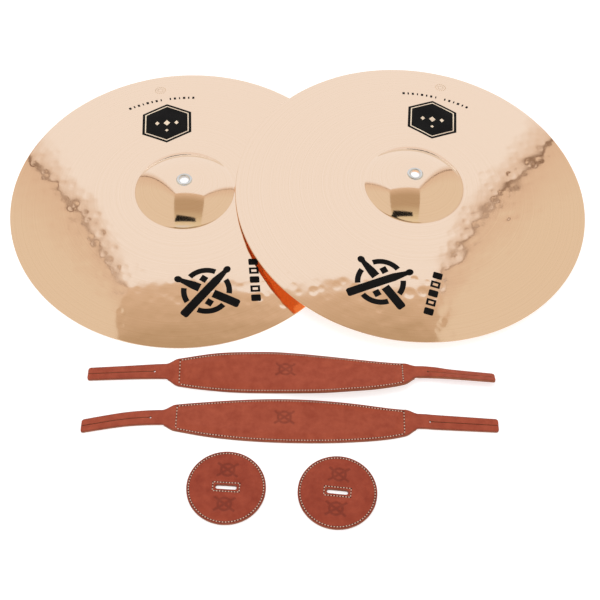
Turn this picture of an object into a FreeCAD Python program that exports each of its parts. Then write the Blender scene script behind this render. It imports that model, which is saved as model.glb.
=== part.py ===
import FreeCAD, Part
import math
import os

# A pair of 18 inch marching hand cymbals laid out loose with their leather fittings: the right cymbal
# leans on the foot of the left one's bell, and two hand straps and two round pads lie in front.
# Millimetres, +Z up, origin on the surface under the middle of the layout. +X runs along the straps and
# from the left cymbal to the right one, and -Y is the side that the pads lie on.

Vec = FreeCAD.Vector
UP = Vec(0, 0, 1)
AIR = 0.1                      # gap left between two pieces of one body

# Cymbal sheet. Heights are those of the underside, above the plane of the rim.
CYMBAL_RADIUS = 228.6
SHEET = 1.1
BELL_RADIUS = 64.0
BOW_HEIGHT = 22.5
BOW_SAG = 2.2                  # rise of the bow's arc above a straight cone
CROWN_HEIGHT = 42.3
SEAT_RADIUS = 11.5             # flat round the hole, where the eyelet is clenched
FOOT_ROUND = 6.0               # fillet in the corner where the bell meets the bow

# Nickel eyelet that lines the strap hole, and the washer that it is clenched over.
EYELET_BORE = 6.0
EYELET_WALL = 0.8
EYELET_FLANGE = 10.3
EYELET_BEAD = 1.0
EYELET_CLENCH = 8.6
CLENCH_HEIGHT = 0.9
WASHER_RADIUS = 10.6
WASHER_THICK = 0.8

# Where the cymbals lie.
LEFT_CYMBAL_AT = (-146.3, 113.1)
RIGHT_CYMBAL_AT = (146.8, 119.0)
RIGHT_TILT = 3.06              # degrees, left side up
RIGHT_TILT_TOWARDS = 5.3       # degrees from +X, the way that the right cymbal leans down

# Leather hand strap: a wide lens-shaped palm panel, a neck at each end and a tail slit into two strands.
STRAP_MIDDLE_X = -4.0
MIDDLE_HALF = 28.1             # half widths
NECK_HALF = 17.0
TAIL_ROOT_HALF = 9.5
TAIL_END_HALF = 8.4
NECK_START = 132.0             # distances from the middle of the strap
NECK_END = 150.0
SLIT_START = 161.0
STRAP_HALF = 241.0
SLIT = 1.0
JOINT_GAP = 0.3                # between two bodies that hinge
LINING = 1.6                   # thicknesses of the three layers and of a tail
PADDING = 1.5
COVER = 1.7
TAIL_THICK = 3.0
PADDING_INSET = 7.0
SECTION_STEP = 10.0

# Centre line of each strap: distance along X from its middle, y, twist about X in degrees, and height
# of the underside. A twisted strap lies on one long edge: a positive twist lifts the near edge.
REAR_LINE = [
    (-241, -154.5, 0, 0.1), (-191, -151.2, 0, 0.3), (-151, -149.5, -8, 1.5), (-131, -152.0, -14, 4.3),
    (-91, -151.6, -14, 5.8), (-51, -149.5, -5, 2.6), (-21, -148.2, 0, 0.8), (9, -150.0, 5, 2.7),
    (39, -151.8, 8.5, 4.3), (69, -152.8, 12, 5.5), (99, -152.7, 13.5, 5.4), (129, -150.6, 15, 4.8),
    (149, -145.9, 16, 3.0), (169, -146.4, 19, 3.3), (189, -148.9, 26, 4.2), (241, -153.2, 28, 4.2),
]
FRONT_LINE = [
    (-241, -224.4, 0, 0), (-191, -214.4, 0, 0), (-151, -211.1, 0, 0), (-91, -212.5, 0, 0),
    (9, -212.8, 0, 0), (69, -213.8, 0, 0), (109, -214.3, 0, 0), (129, -213.3, 0, 0),
    (149, -210.4, 0, 0), (169, -211.3, 0, 0), (241, -214.6, 0, 0),
]

# Thread of the seams, which stands on the leather's face.
THREAD = 0.6
THREAD_RISE = 0.4
SEAM_INSET = 3.0

# Round leather pad with a slot for the strap's tail.
PAD_RADIUS = 44.5
PAD_SKIN = 1.7
PAD_CORE = 1.0
SLOT_LENGTH = 24.0
SLOT_WIDTH = 5.4
SLOT_SEAM = (30.0, 13.0)
PADS = {"left_pad": (-74.2, -299.2, -2.5), "right_pad": (50.3, -302.6, -5.0)}


def save(shape, node):
    """Writes one node as a STEP file."""
    shape.exportStep("parts/" + node + ".step")


def smooth_row(rows, place, column):
    """One column of a table at a place along its first column, on a smooth curve through the rows."""
    last = len(rows) - 1
    i = max(0, min(last - 1, sum(row[0] <= place for row in rows) - 1))

    def slope(k):
        low = max(k - 1, 0)
        high = min(k + 1, last)
        return (rows[high][column] - rows[low][column]) / (rows[high][0] - rows[low][0])

    span = rows[i + 1][0] - rows[i][0]
    t = (place - rows[i][0]) / span
    rest = 1 - t
    return (
        rows[i][column] * (1 + 2 * t) * rest**2
        + rows[i + 1][column] * (3 - 2 * t) * t**2
        + slope(i) * span * t * rest**2
        - slope(i + 1) * span * rest * t**2
    )


# Cymbals


def spun(edges):
    """The solid that a closed profile in the XZ plane makes when it is spun about Z."""
    face = Part.Face(Part.Wire(Part.sortEdges(edges)[0]))
    return face.revolve(Vec(0, 0, 0), UP, 360)


def polygon_edges(points):
    """Straight edges round a list of (radius, height) corners, closed."""
    corners = [Vec(r, 0, z) for r, z in points]
    return [Part.LineSegment(a, b).toShape() for a, b in zip(corners, corners[1:] + corners[:1])]


def sheet_face(lift):
    """Edges of one face of the cymbal's sheet, from the hole out to the rim."""
    hole = EYELET_BORE + EYELET_WALL + AIR
    seat = Vec(SEAT_RADIUS, 0, CROWN_HEIGHT + lift)
    foot = Vec(BELL_RADIUS + lift / 3, 0, BOW_HEIGHT + lift)
    rim = Vec(CYMBAL_RADIUS, 0, lift)
    drop = seat.z - foot.z
    below = (foot.x**2 - seat.x**2 - drop**2) / (2 * drop)
    bell_centre = Vec(0, 0, foot.z - below)
    bell_radius = foot.distanceToPoint(bell_centre)
    half_way = (foot.x + seat.x) / 2
    bell_mid = Vec(half_way, 0, bell_centre.z + math.sqrt(bell_radius**2 - half_way**2))
    bow_mid = (foot + rim) * 0.5 + Vec(0, 0, BOW_SAG)
    return [
        Part.LineSegment(Vec(hole, 0, seat.z), seat).toShape(),
        Part.Arc(seat, bell_mid, foot).toShape(),
        Part.Arc(foot, bow_mid, rim).toShape(),
    ]


def cymbal_plate():
    """The one-piece bronze sheet: bell, bow and rim, with the hole for the eyelet."""
    hole = EYELET_BORE + EYELET_WALL + AIR
    under = sheet_face(0)
    over = sheet_face(SHEET)
    hole_wall = Part.LineSegment(Vec(hole, 0, CROWN_HEIGHT), Vec(hole, 0, CROWN_HEIGHT + SHEET)).toShape()
    rim_wall = Part.LineSegment(Vec(CYMBAL_RADIUS, 0, 0), Vec(CYMBAL_RADIUS, 0, SHEET)).toShape()
    plate = spun(under + over + [hole_wall, rim_wall])
    feet = []
    for edge in plate.Edges:
        round_edge = isinstance(edge.Curve, Part.Circle)
        if round_edge and abs(edge.Curve.Radius - BELL_RADIUS) < 1 and abs(edge.Curve.Axis.z) > 0.9:
            feet.append(edge)
    return plate.makeFillet(FOOT_ROUND, feet)


def eyelet():
    """A drawn tube with a rolled bead over the sheet and a flared end clenched under the washer."""
    top = CROWN_HEIGHT + SHEET + AIR / 2
    low = CROWN_HEIGHT - AIR - WASHER_THICK
    outer = EYELET_BORE + EYELET_WALL
    middle = (EYELET_BORE + EYELET_FLANGE) / 2
    bead = Part.Arc(Vec(EYELET_BORE, 0, top), Vec(middle, 0, top + EYELET_BEAD), Vec(EYELET_FLANGE, 0, top))
    corners = [
        (EYELET_FLANGE, top),
        (outer, top),
        (outer, low - AIR / 2),
        (EYELET_CLENCH, low - AIR / 2),
        (EYELET_CLENCH, low - CLENCH_HEIGHT),
        (EYELET_BORE, low - CLENCH_HEIGHT),
        (EYELET_BORE, top),
    ]
    return spun(polygon_edges(corners)[:-1] + [bead.toShape()])


def eyelet_washer():
    """The flat washer between the sheet and the clenched end of the eyelet."""
    inner = EYELET_BORE + EYELET_WALL + AIR
    low = CROWN_HEIGHT - AIR / 2 - WASHER_THICK
    high = CROWN_HEIGHT - AIR / 2
    return spun(polygon_edges([(inner, low), (WASHER_RADIUS, low), (WASHER_RADIUS, high), (inner, high)]))


def lay_left(shape):
    """Puts a cymbal piece in the left cymbal's place, flat on its rim."""
    shape.translate(Vec(LEFT_CYMBAL_AT[0], LEFT_CYMBAL_AT[1], 0))
    return shape


def lay_right(shape):
    """Puts a cymbal piece in the right cymbal's place, tilted with its low side on the surface."""
    towards = math.radians(RIGHT_TILT_TOWARDS)
    tilt_axis = Vec(-math.sin(towards), math.cos(towards), 0)
    shape.rotate(Vec(0, 0, 0), tilt_axis, RIGHT_TILT)
    lift = CYMBAL_RADIUS * math.sin(math.radians(RIGHT_TILT))
    shape.translate(Vec(RIGHT_CYMBAL_AT[0], RIGHT_CYMBAL_AT[1], lift))
    return shape


# Straps


def half_width(place):
    """Half the strap's width at a distance along it from the middle."""
    far = abs(place)
    if far <= NECK_START:
        return NECK_HALF + (MIDDLE_HALF - NECK_HALF) * (1 - (far / NECK_START) ** 2)
    if far <= NECK_END:
        ease = (1 + math.cos(math.pi * (far - NECK_START) / (NECK_END - NECK_START))) / 2
        return TAIL_ROOT_HALF + (NECK_HALF - TAIL_ROOT_HALF) * ease
    return TAIL_ROOT_HALF - (TAIL_ROOT_HALF - TAIL_END_HALF) * (far - NECK_END) / (STRAP_HALF - NECK_END)


def strap_point(line, place, across, height):
    """A point of a strap: across from its centre line, and height above its underside."""
    twist = math.radians(smooth_row(line, place, 2))
    y = smooth_row(line, place, 1) + across * math.cos(twist) + height * math.sin(twist)
    z = smooth_row(line, place, 3) - across * math.sin(twist) + height * math.cos(twist)
    return Vec(STRAP_MIDDLE_X + place, y, z)


def band(line, start, end, near, far, low, high):
    """A solid along a strap: near and far give its two edges at a place, low and high its two faces."""
    marks = range(-math.ceil(STRAP_HALF / SECTION_STEP), math.ceil(STRAP_HALF / SECTION_STEP) + 1)
    left = min(start, end)
    right = max(start, end)
    inside = [mark * SECTION_STEP for mark in marks if left < mark * SECTION_STEP < right]
    sections = []
    for place in [left] + inside + [right]:
        corners = [
            strap_point(line, place, near(place), low),
            strap_point(line, place, far(place), low),
            strap_point(line, place, far(place), high),
            strap_point(line, place, near(place), high),
        ]
        sections.append(Part.makePolygon(corners + corners[:1]))
    return Part.makeLoft(sections, True, True)


def strap_layer(line, inset, end, low, high):
    """One full-width layer of the palm panel, inset from its edge."""
    return band(
        line, -end, end,
        lambda place: inset - half_width(place),
        lambda place: half_width(place) - inset,
        low, high,
    )


def strap_seams(line, name, top):
    """The two edge seams and the two seams across the necks."""
    low = top + AIR / 2
    high = low + THREAD_RISE
    for side, sign in (("near", -1), ("far", 1)):
        outer = SEAM_INSET - THREAD / 2
        inner = SEAM_INSET + THREAD / 2
        seam = band(
            line, -NECK_START + THREAD, NECK_START - THREAD,
            lambda place: sign * (half_width(place) - outer),
            lambda place: sign * (half_width(place) - inner),
            low, high,
        )
        save(seam, f"{name}_{side}_edge_thread")
    reach = NECK_HALF - SEAM_INSET
    for side, sign in (("left", -1), ("right", 1)):
        middle = sign * NECK_START
        seam = band(
            line, middle - THREAD / 2, middle + THREAD / 2,
            lambda place: -reach,
            lambda place: reach,
            low, high,
        )
        save(seam, f"{name}_{side}_cross_thread")


def strap_ends(line, name):
    """The tail at each end of a strap, and its two strands."""
    for side, sign in (("left", -1), ("right", 1)):
        tail = band(
            line, sign * (NECK_END + JOINT_GAP), sign * SLIT_START,
            lambda place: -half_width(place),
            lambda place: half_width(place),
            0, TAIL_THICK,
        )
        save(tail, f"{name}_{side}_tail")
        root = sign * (SLIT_START + JOINT_GAP)
        end = sign * STRAP_HALF
        near = band(line, root, end, lambda place: -half_width(place), lambda place: -SLIT / 2, 0, TAIL_THICK)
        far = band(line, root, end, lambda place: SLIT / 2, lambda place: half_width(place), 0, TAIL_THICK)
        save(near, f"{name}_{side}_near_strand")
        save(far, f"{name}_{side}_far_strand")


def strap(line, name):
    """Every piece of one hand strap."""
    padding_low = LINING + AIR
    cover_low = padding_low + PADDING + AIR
    top = cover_low + COVER
    save(strap_layer(line, 0, NECK_END, 0, LINING), f"{name}_lining")
    save(strap_layer(line, PADDING_INSET, NECK_START - PADDING_INSET, padding_low, padding_low + PADDING),
         f"{name}_padding")
    save(strap_layer(line, 0, NECK_END, cover_low, top), f"{name}_cover")
    strap_seams(line, name, top)
    strap_ends(line, name)


# Pads


def slot_block(length, width, low, high):
    """A block with round ends, centred on the pad's axis."""
    half = (length - width) / 2
    block = Part.makeBox(2 * half, width, high - low, Vec(-half, -width / 2, low))
    for sign in (-1, 1):
        end = Part.makeCylinder(width / 2, high - low, Vec(sign * half, 0, low))
        block = block.fuse(end)
    return block.removeSplitter()


def ring(outer, inner, low, high):
    """A flat ring about the pad's axis."""
    disc = Part.makeCylinder(outer, high - low, Vec(0, 0, low))
    return disc.cut(Part.makeCylinder(inner, high - low, Vec(0, 0, low)))


def pad_layer(radius, slot_margin, low, high):
    """One disc of a pad with the strap slot cut through it."""
    disc = Part.makeCylinder(radius, high - low, Vec(0, 0, low))
    slot = slot_block(SLOT_LENGTH + 2 * slot_margin, SLOT_WIDTH + 2 * slot_margin, low, high)
    return disc.cut(slot)


def pad(name, x, y, turn):
    """Every piece of one round pad."""
    core_low = PAD_SKIN + AIR
    front_low = core_low + PAD_CORE + AIR
    top = front_low + PAD_SKIN
    seam_low = top + AIR / 2
    seam_high = seam_low + THREAD_RISE
    seam_radius = PAD_RADIUS - SEAM_INSET
    pieces = {
        "back": pad_layer(PAD_RADIUS, 0, 0, PAD_SKIN),
        "core": pad_layer(PAD_RADIUS - 2 * SEAM_INSET, 2 * SEAM_INSET, core_low, core_low + PAD_CORE),
        "front": pad_layer(PAD_RADIUS, 0, front_low, top),
        "rim_thread": ring(seam_radius + THREAD / 2, seam_radius - THREAD / 2, seam_low, seam_high),
    }
    outer = [length + THREAD for length in SLOT_SEAM]
    inner = [length - THREAD for length in SLOT_SEAM]
    frame = Part.makeBox(outer[0], outer[1], THREAD_RISE, Vec(-outer[0] / 2, -outer[1] / 2, seam_low))
    hole = Part.makeBox(inner[0], inner[1], THREAD_RISE, Vec(-inner[0] / 2, -inner[1] / 2, seam_low))
    pieces["slot_thread"] = frame.cut(hole)
    for piece, shape in pieces.items():
        shape.rotate(Vec(0, 0, 0), UP, turn)
        shape.translate(Vec(x, y, 0))
        save(shape, f"{name}_{piece}")


os.makedirs("parts", exist_ok=True)
for side, lay in (("left", lay_left), ("right", lay_right)):
    save(lay(cymbal_plate()), f"{side}_cymbal_plate")
    save(lay(eyelet()), f"{side}_eyelet")
    save(lay(eyelet_washer()), f"{side}_eyelet_washer")
strap(REAR_LINE, "rear_strap")
strap(FRONT_LINE, "front_strap")
for pad_name, place in PADS.items():
    pad(pad_name, *place)
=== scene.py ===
"""The finished look of a pair of hand cymbals with two hand straps and two pads, built around the frame."""

import math

import bmesh
import bpy
import numpy as np
from bpy.props import FloatProperty, FloatVectorProperty, IntProperty, PointerProperty
from bpy.types import Operator, Panel, PropertyGroup
from mathutils import Matrix, Vector


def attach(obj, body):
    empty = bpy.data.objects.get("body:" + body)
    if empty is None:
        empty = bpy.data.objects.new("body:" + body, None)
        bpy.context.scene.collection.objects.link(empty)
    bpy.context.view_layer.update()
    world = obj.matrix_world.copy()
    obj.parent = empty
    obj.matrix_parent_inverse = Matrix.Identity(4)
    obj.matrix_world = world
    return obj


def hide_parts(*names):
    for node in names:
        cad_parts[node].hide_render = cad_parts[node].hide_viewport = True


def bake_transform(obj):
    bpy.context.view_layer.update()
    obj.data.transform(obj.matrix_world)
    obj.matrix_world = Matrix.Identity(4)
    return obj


bl_info = {
    "name": "Hand Cymbals",
    "version": (1, 0, 0),
    "blender": (4, 5, 0),
    "location": "3D View > Sidebar > Hand Cymbals",
    "description": "Hammered cymbals, stitched straps and pads on the packed frame",
    "category": "Object",
}

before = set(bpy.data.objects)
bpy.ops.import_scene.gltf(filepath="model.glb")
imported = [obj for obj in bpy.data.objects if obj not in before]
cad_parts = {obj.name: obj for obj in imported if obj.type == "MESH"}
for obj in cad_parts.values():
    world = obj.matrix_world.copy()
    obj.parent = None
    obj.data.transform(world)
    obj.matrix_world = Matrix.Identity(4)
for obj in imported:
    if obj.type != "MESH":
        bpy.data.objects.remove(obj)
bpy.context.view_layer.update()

MM = 0.001
UP = np.array([0.0, 0.0, 1.0])

# Cymbal sheet, in millimetres. Heights are those of the underside above the plane of the rim.
RIM_RADIUS = 228.6
HOLE_RADIUS = 6.9
SEAT_RADIUS = 11.5
BELL_RADIUS = 64.0
BOW_HEIGHT = 22.5
BOW_SAG = 2.2
CROWN_HEIGHT = 42.3
BELL_CENTRE = -67.7
BELL_ARC = 110.6
FOOT_SOFTNESS = 0.22
FOOT_REACH = 12.0
FOOT_FADE = 8.0
SHEET = 1.1
SHEET_CORNER = 0.2
SHEET_BULGE = 0.08
SHEET_SEGMENTS = 896

# Hammering. The marks lie roughly in rings. RING_SPACING and STRAY_ROUND are shares of the distance
# between marks, and MARK_DEPTHS and MARK_WIDTHS of a usual mark's. Each wave is a count and its rates.
HAMMER_SEEDS = {"left": 18, "right": 29}
FIRST_RING = BELL_RADIUS + 11
LAST_RING = RIM_RADIUS - 5
RING_SPACING = 0.88
STRAY_ROUND = 0.45
STRAY_OUT = 6.0
MARK_DEPTHS = (0.3, 1.25)
MARK_WIDTHS = (0.8, 1.25)
HEAVY_SHARE = 0.05
HEAVY_DEPTH = 2.6
HEAVY_WIDTH = 1.25
SLOW_WAVES = (9, 0.045, 0.13)
SHORT_WAVES = (10, 0.17, 0.33)

# Where the cymbals lie, and how the right one leans.
LEFT_AT = (-146.3, 113.1)
RIGHT_AT = (146.8, 119.0)
RIGHT_TILT = 3.06
RIGHT_TOWARDS = 5.3

# Hand strap. Places along it are measured from its middle.
STRAP_MIDDLE_X = -4.0
MIDDLE_HALF = 28.1
NECK_HALF = 17.0
TAIL_ROOT_HALF = 9.5
TAIL_END_HALF = 8.4
NECK_START = 132.0
NECK_END = 150.0
TAIL_BEND = (144.0, 157.0)
SLIT_START = 161.0
LACE_HOLE_AT = 162.0
LACE_HOLE_RADIUS = 1.25
STRAND_BEND = (161.0, 172.0)
STRAP_HALF = 241.0
UNDERLAY_END = 146.0
FELT_END = 122.0
UNDERLAY = 1.6
COVER = 1.7
FELT = 1.5
TAIL_THICK = 3.0
PADDING_INSET = 7.0
SIDES = (("left", -1), ("right", 1))

# Gap between sheets that lie on each other, and how far the felt lifts the cover for its thickness.
SHEET_GAP = 0.08
FELT_SWELL = 1.05

# Seams, on the straps and on the pads.
SEAM_INSET = 2.4
GROOVE_DEPTH = 0.25
GROOVE_WIDTH = 0.8
STITCH_LIFT = 0.02
CROSS_STITCH_LIFT = 0.05
STITCH_UNDER = 0.28

# Pressed mark: a ring with two crossed bars, the pitch of the mesh under it and its middle on a strap.
PRESS_SIZE = 1.3
PRESS_RING = 5.6
PRESS_STROKE = 1.4
PRESS_BAR = (11.5, 1.45)
PRESS_LEAN = 35
PRESS_MESH = 0.62
PRESS_AT = (-7.0, 3.0)

# Centre line of each strap: distance along X from its middle, y, twist about X in degrees, and height
# of the underside. A positive twist lifts the near edge.
REAR_LINE = [
    (-241, -154.5, 0, 0.1), (-191, -151.2, 0, 0.3), (-151, -149.5, -8, 1.5), (-131, -152.0, -14, 4.3),
    (-91, -151.6, -14, 5.8), (-51, -149.5, -5, 2.6), (-21, -148.2, 0, 0.8), (9, -150.0, 5, 2.7),
    (39, -151.8, 8.5, 4.3), (69, -152.8, 12, 5.5), (99, -152.7, 13.5, 5.4), (129, -150.6, 15, 4.8),
    (149, -145.9, 16, 3.0), (169, -146.4, 19, 3.3), (189, -148.9, 26, 4.2), (241, -153.2, 28, 4.2),
]
FRONT_LINE = [
    (-241, -224.4, 0, 0), (-191, -214.4, 0, 0), (-151, -211.1, 0, 0), (-91, -212.5, 0, 0),
    (9, -212.8, 0, 0), (69, -213.8, 0, 0), (109, -214.3, 0, 0), (129, -213.3, 0, 0),
    (149, -210.4, 0, 0), (169, -211.3, 0, 0), (241, -214.6, 0, 0),
]
STRAPS = {"rear_strap": REAR_LINE, "front_strap": FRONT_LINE}

# Round pad.
PAD_RADIUS = 44.5
PAD_SKIN = 1.7
PAD_TOP = 4.6
SLOT_LENGTH = 24.0
SLOT_WIDTH = 5.4
SLOT_SEAM = (30.0, 10.8)
PAD_PRESS_AT = 21.0
PADS = {"left_pad": (-74.2, -299.2, -2.5), "right_pad": (50.3, -302.6, -5.0)}


# Settings


class CymbalSettings(PropertyGroup):
    """Sizes and colours of the bronze."""

    dimple_depth: FloatProperty(
        name="Dimple depth", description="Depth of a usual hammer mark",
        default=0.05 * MM, unit="LENGTH", precision=6,
    )
    dimple_width: FloatProperty(
        name="Dimple width", description="Distance from a hammer mark's middle to its steepest part",
        default=3.0 * MM, unit="LENGTH",
    )
    dimple_spacing: FloatProperty(
        name="Dimple spacing", description="Usual distance between hammer marks", default=14.5 * MM,
        unit="LENGTH",
    )
    unevenness: FloatProperty(
        name="Unevenness", description="Height of the sheet's slow waves", default=0.085 * MM,
        unit="LENGTH", precision=6,
    )
    ripple: FloatProperty(
        name="Ripple", description="Height of each of the sheet's short waves", default=0.011 * MM,
        unit="LENGTH", precision=6,
    )
    bronze: FloatVectorProperty(
        name="Bronze", description="Colour of the bronze face", subtype="COLOR", default=(0.888, 0.70, 0.558),
    )
    bronze_roughness: FloatProperty(
        name="Bronze roughness", description="Roughness of the bronze face", default=0.06, subtype="FACTOR",
    )
    nickel: FloatVectorProperty(
        name="Nickel", description="Colour of the eyelets", subtype="COLOR", default=(0.72, 0.73, 0.74),
    )


class PrintSettings(PropertyGroup):
    """Inks of the marks printed on the cymbals."""

    ink: FloatVectorProperty(
        name="Ink", description="Colour of the dark ink", subtype="COLOR", default=(0.005, 0.0045, 0.0045),
    )
    pale_ink: FloatVectorProperty(
        name="Pale ink", description="Colour of the pale lines", subtype="COLOR", default=(0.72, 0.56, 0.42),
    )
    stamp_ink: FloatVectorProperty(
        name="Stamp", description="Colour of the faint stamp", subtype="COLOR", default=(0.50, 0.34, 0.22),
    )
    film: FloatProperty(
        name="Film", description="Height of the ink above the bronze", default=0.04 * MM, unit="LENGTH",
        precision=6,
    )


class StrapSettings(PropertyGroup):
    """Sizes and colours of the leather straps."""

    leather: FloatVectorProperty(
        name="Leather", description="Colour of the dyed face", subtype="COLOR", default=(0.378, 0.061, 0.024),
    )
    raw_leather: FloatVectorProperty(
        name="Raw leather", description="Colour of cut edges", subtype="COLOR", default=(0.34, 0.11, 0.05),
    )
    underlay: FloatVectorProperty(
        name="Underlay", description="Colour of the undyed back leather", subtype="COLOR",
        default=(0.40, 0.15, 0.075),
    )
    felt: FloatVectorProperty(
        name="Felt", description="Colour of the felt inside", subtype="COLOR", default=(0.45, 0.42, 0.37),
    )
    thread: FloatVectorProperty(
        name="Thread", description="Colour of the sewing thread", subtype="COLOR", default=(0.84, 0.68, 0.52),
    )
    stitch_pitch: FloatProperty(
        name="Stitch pitch", description="Distance from stitch to stitch", default=3.4 * MM, unit="LENGTH",
    )
    press_depth: FloatProperty(
        name="Press depth", description="Depth of the pressed mark", default=0.35 * MM, unit="LENGTH",
        precision=5,
    )


class PadSettings(PropertyGroup):
    """Sizes of the round pads."""

    segments: IntProperty(name="Segments", description="Steps round a pad", default=320, min=60)
    rings: IntProperty(name="Rings", description="Steps from the slot to the rim", default=50, min=12)
    dome: FloatProperty(
        name="Dome", description="Height of the pad's middle over its sewn rim", default=1.1 * MM,
        unit="LENGTH",
    )


class StageSettings(PropertyGroup):
    """Camera, floor and light."""

    lens: FloatProperty(name="Lens", description="Focal length in millimetres", default=73.448)
    floor_size: FloatProperty(name="Floor size", description="Side of the floor", default=8.0, unit="LENGTH")
    room_light: FloatProperty(name="Room light", description="Strength of the even light", default=0.8)
    lamp_power: FloatProperty(name="Lamp power", description="Power of the overhead lamp", default=10.0)
    floor_glow: FloatProperty(name="Floor glow", description="Light that the floor gives out", default=0.61)


# Meshes


def link_object(name, data):
    """A new object in the scene."""
    piece = bpy.data.objects.new(name, data)
    bpy.context.scene.collection.objects.link(piece)
    return piece


def mesh_object(name, points, faces, materials, face_slots=None, sharp=40.0, place=None):
    """An object from points in millimetres and lists of corner numbers, shaded smooth up to an angle.
    place is the matrix that carries the points to the row frame."""
    mesh = bpy.data.meshes.new(name)
    mesh.from_pydata((points * MM).tolist(), [], faces)
    if place is not None:
        mesh.transform(place)
    for material in materials:
        mesh.materials.append(MATERIALS[material])
    if face_slots is not None:
        mesh.polygons.foreach_set("material_index", np.asarray(face_slots, dtype=np.int32))
    mesh.validate()
    mesh.shade_smooth()
    mesh.set_sharp_from_angle(angle=math.radians(sharp))
    return link_object(name, mesh)


def point_values(piece, name, values):
    """Stores one number per point of a piece, for its material to read."""
    attribute = piece.data.attributes.new(name, "FLOAT", "POINT")
    attribute.data.foreach_set("value", np.asarray(values, dtype=np.float32).ravel())


def ring_faces(rows, columns, closed_rows=False):
    """Quads between neighbouring rows of a grid whose columns close on themselves."""
    faces = []
    last = rows if closed_rows else rows - 1
    for row in range(last):
        here = row * columns
        there = ((row + 1) % rows) * columns
        for column in range(columns):
            after = (column + 1) % columns
            faces.append((here + column, here + after, there + after, there + column))
    return faces


def cap_faces(start, columns, flip):
    """Quads that close one end of a bar whose section runs out over the top and back underneath."""
    half = columns // 2
    faces = []
    for i in range(half - 1):
        corners = (start + i, start + i + 1, start + columns - 2 - i, start + columns - 1 - i)
        faces.append(corners[::-1] if flip else corners)
    return faces


def smooth_step(values):
    """0 below 0, 1 above 1, and an even ramp between."""
    t = np.clip(values, 0, 1)
    return t * t * (3 - 2 * t)


def unit(vectors):
    """Vectors made one long."""
    return vectors / np.linalg.norm(vectors, axis=-1, keepdims=True)


# Node groups and materials. Texture scales are per metre and bump distances are in metres.

GRAIN_SCALE = 1100.0
CLOUD_SCALE = 95.0
RING_BUMP = 0.0000003


class NodeTree:
    """The nodes of one material or node group, and the steps that join them."""

    def __init__(self, tree):
        self.nodes = tree.nodes
        self.links = tree.links

    def add(self, kind, **values):
        """A node with some of its properties and inputs set."""
        node = self.nodes.new(kind)
        for name, value in values.items():
            if hasattr(node, name):
                setattr(node, name, value)
            else:
                node.inputs[name.replace("_", " ")].default_value = value
        return node

    def feed(self, value, socket):
        """Joins another node's socket to a socket, or sets it to a number or a colour."""
        if isinstance(value, bpy.types.NodeSocket):
            self.links.new(value, socket)
        elif isinstance(value, (int, float)):
            socket.default_value = value
        else:
            socket.default_value = (*value, 1.0)

    def place(self):
        """Where each spot of the surface lies."""
        return self.add("ShaderNodeTexCoord").outputs["Object"]

    def stored(self, name):
        """A number that the mesh stores at each of its points."""
        return self.add("ShaderNodeAttribute", attribute_name=name).outputs["Fac"]

    def noise(self, vector, scale, detail=3.0, rough=0.55):
        """A noise texture on a vector."""
        node = self.add("ShaderNodeTexNoise", Detail=detail, Roughness=rough)
        self.feed(vector, node.inputs["Vector"])
        self.feed(scale, node.inputs["Scale"])
        return node.outputs["Fac"]

    def spread(self, value, low, high, to_low=0.0, to_high=1.0):
        """A value carried from one range to another, and held inside it."""
        node = self.add("ShaderNodeMapRange", From_Min=low, From_Max=high, To_Min=to_low, To_Max=to_high)
        self.feed(value, node.inputs["Value"])
        return node.outputs["Result"]

    def combine(self, operation, first, second):
        """A sum, product or other step on two values."""
        node = self.add("ShaderNodeMath", operation=operation)
        self.feed(first, node.inputs[0])
        self.feed(second, node.inputs[1])
        return node.outputs[0]

    def mix(self, factor, first, second):
        """Two colours mixed by a factor."""
        node = self.add("ShaderNodeMix", data_type="RGBA")
        for value, index in ((factor, 0), (first, 6), (second, 7)):
            self.feed(value, node.inputs[index])
        return node.outputs[2]

    def bump(self, height, distance):
        """Normals of a surface raised by a height."""
        node = self.add("ShaderNodeBump", Strength=1.0, Distance=distance)
        self.feed(height, node.inputs["Height"])
        return node.outputs["Normal"]


def new_material(name):
    """An empty Principled material: the material, its node tree and its shader's inputs."""
    material = bpy.data.materials.new(name)
    material.use_nodes = True
    return material, NodeTree(material.node_tree), material.node_tree.nodes["Principled BSDF"].inputs


def toned(colour, red, green, blue):
    """A colour with each part multiplied, up to 1."""
    return tuple(min(1.0, part * factor) for part, factor in zip(colour, (red, green, blue)))


def group_of(name, inputs, outputs):
    """An empty shader node group with named sockets: the group, its node tree and both ends."""
    group = bpy.data.node_groups.new(name, "ShaderNodeTree")
    for label, value in inputs.items():
        socket = group.interface.new_socket(label, in_out="INPUT", socket_type="NodeSocketFloat")
        socket.default_value = value
    for label in outputs:
        group.interface.new_socket(label, in_out="OUTPUT", socket_type="NodeSocketFloat")
    start = group.nodes.new("NodeGroupInput").outputs
    end = group.nodes.new("NodeGroupOutput").inputs
    return group, NodeTree(group), start, end


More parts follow.
